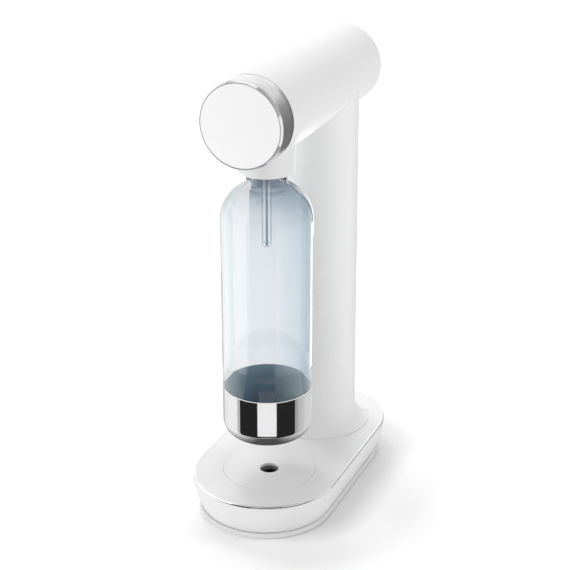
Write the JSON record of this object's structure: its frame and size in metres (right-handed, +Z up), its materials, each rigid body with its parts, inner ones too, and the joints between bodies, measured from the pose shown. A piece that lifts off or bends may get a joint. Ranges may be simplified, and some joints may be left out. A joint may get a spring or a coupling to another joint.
{
  "type": "soda carbonator",
  "caption": "Countertop soda carbonator: round arm on a round column over a stadium base, front knob, hanging bottle with a steel cup, gas cylinder behind a rear cover.",
  "frame": {"origin": "centre of the footprint, on the surface that the feet stand on", "axes": "+Z up; -Y is the front, where the knob and the bottle are; +X is to the right for someone facing the front"},
  "size_m": [0.138, 0.263, 0.428],
  "materials": {
    "white_shell": "smooth satin white moulding",
    "white_face": "smooth matt white disc",
    "sole_plastic": "light grey moulding",
    "dark_rubber": "matt black rubber",
    "seal_rubber": "soft dark grey rubber",
    "bright_trim": "polished",
    "brushed_ring": "brushed round the axis, with a polished chamfer",
    "polished_cup": "polished bright",
    "steel_part": "plain machined steel",
    "zinc_screw": "zinc plated",
    "grey_frame": "moulded grey",
    "pale_holder": "moulded pale grey",
    "red_lever": "moulded red",
    "bearing_plastic": "natural bearing plastic",
    "brass_part": "turned brass",
    "cast_block": "die cast",
    "gas_paint": "smooth enamel on a steel cylinder",
    "bottle_glass": "clear with a faint blue tint",
    "sleeve_clear": "clear"
  },
  "bodies": {
    "stand": {"base_shell": "white_shell", "base_trim": "bright_trim", "base_pan": "sole_plastic", "rubber_feet": "dark_rubber", "base_screws": "zinc_screw", "column_shell": "white_shell", "column_spine": "steel_part", "column_screws": "zinc_screw", "cylinder_cradle": "grey_frame", "valve_block": "cast_block", "cylinder_seal": "seal_rubber", "rocker_pin": "steel_part", "lever_pins": "steel_part", "arm_shell": "white_shell", "arm_rear_cap": "white_shell", "arm_frame": "grey_frame", "frame_screws": "zinc_screw", "front_bulkhead": "grey_frame", "bulkhead_screws": "zinc_screw", "front_bush": "bearing_plastic", "rear_bush": "bearing_plastic", "bottle_collar": "white_shell", "gas_manifold": "cast_block", "gas_pipe": "steel_part", "relief_valve": "brass_part", "relief_spring": "steel_part", "plunger_spring": "steel_part"},
    "knob": {"knob_ring": "brushed_ring", "knob_face": "white_face", "knob_hub": "grey_frame", "knob_shaft": "steel_part", "knob_screw": "zinc_screw", "valve_cam": "steel_part", "shaft_clip": "steel_part"},
    "rocker": {"rocker": "steel_part"},
    "plunger": {"plunger": "steel_part"},
    "gas_cylinder": {"gas_cylinder": "gas_paint", "cylinder_valve": "brass_part"},
    "valve_pin": {"valve_pin": "steel_part"},
    "lock_lever": {"lock_lever": "red_lever"},
    "bottle_holder": {"bottle_holder": "pale_holder", "holder_pins": "steel_part", "bottle_seal": "seal_rubber", "nozzle_head": "brass_part", "nozzle_tube": "steel_part", "nozzle_sleeve": "sleeve_clear"},
    "bottle": {"bottle": "bottle_glass", "bottle_cup": "polished_cup"},
    "drip_tray": {"drip_tray": "white_shell", "drain_grommet": "bright_trim", "drip_cup": "grey_frame"},
    "rear_cover": {"rear_cover": "white_shell"},
    "relief_poppet": {"relief_poppet": "steel_part"}
  },
  "joints": [
    {"name": "knob_turn", "type": "hinge", "parent": "stand", "child": "knob", "pos_m": [0, -0.09, 0.3892], "axis": [0, 1, 0], "range_deg": [0, 60], "stiffness_Nm_per_rad": 0.5},
    {"name": "rocker_tilt", "type": "hinge", "parent": "stand", "child": "rocker", "pos_m": [0, 0.038, 0.406], "axis": [-1, 0, 0], "range_deg": [0, 5.01]},
    {"name": "plunger_press", "type": "slide", "parent": "stand", "child": "plunger", "axis": [0, 0, -1], "range_m": [0, 0.0022], "deforming": ["plunger_spring"]},
    {"name": "valve_pin_press", "type": "slide", "parent": "gas_cylinder", "child": "valve_pin", "axis": [0, 0, -1], "range_m": [0, 0.0022]},
    {"name": "cylinder_drop", "type": "slide", "parent": "stand", "child": "gas_cylinder", "axis": [0, 0, -1], "range_m": [0, 0.0049]},
    {"name": "lever_lift", "type": "hinge", "parent": "stand", "child": "lock_lever", "pos_m": [0, 0.069, 0.366], "axis": [1, 0, 0], "range_deg": [0, 35]},
    {"name": "holder_tilt", "type": "hinge", "parent": "stand", "child": "bottle_holder", "pos_m": [0, -0.059, 0.368], "axis": [-1, 0, 0], "range_deg": [0, 7]},
    {"name": "bottle_drop", "type": "slide", "parent": "bottle_holder", "child": "bottle", "axis": [0, 0, -1], "range_m": [0, 0.022]},
    {"name": "tray_lift", "type": "slide", "parent": "stand", "child": "drip_tray", "axis": [0, 0, 1], "range_m": [0, 0.015]},
    {"name": "cover_slide", "type": "slide", "parent": "stand", "child": "rear_cover", "axis": [0, 1, 0], "range_m": [0, 0.1]},
    {"name": "relief_lift", "type": "slide", "parent": "stand", "child": "relief_poppet", "axis": [0, 0, -1], "range_m": [0, 0.0015], "stiffness_N_per_m": 800, "springref_m": -0.001, "deforming": ["relief_spring"]}
  ],
  "couplings": [
    {"joint": "rocker_tilt", "follows": "knob_turn", "ratio": 0.0833},
    {"joint": "plunger_press", "follows": "knob_turn", "m_per_rad": 0.0021},
    {"joint": "valve_pin_press", "follows": "knob_turn", "m_per_rad": 0.0021},
    {"joint": "lever_lift", "follows": "cylinder_drop", "rad_per_m": 124.6}
  ]
}
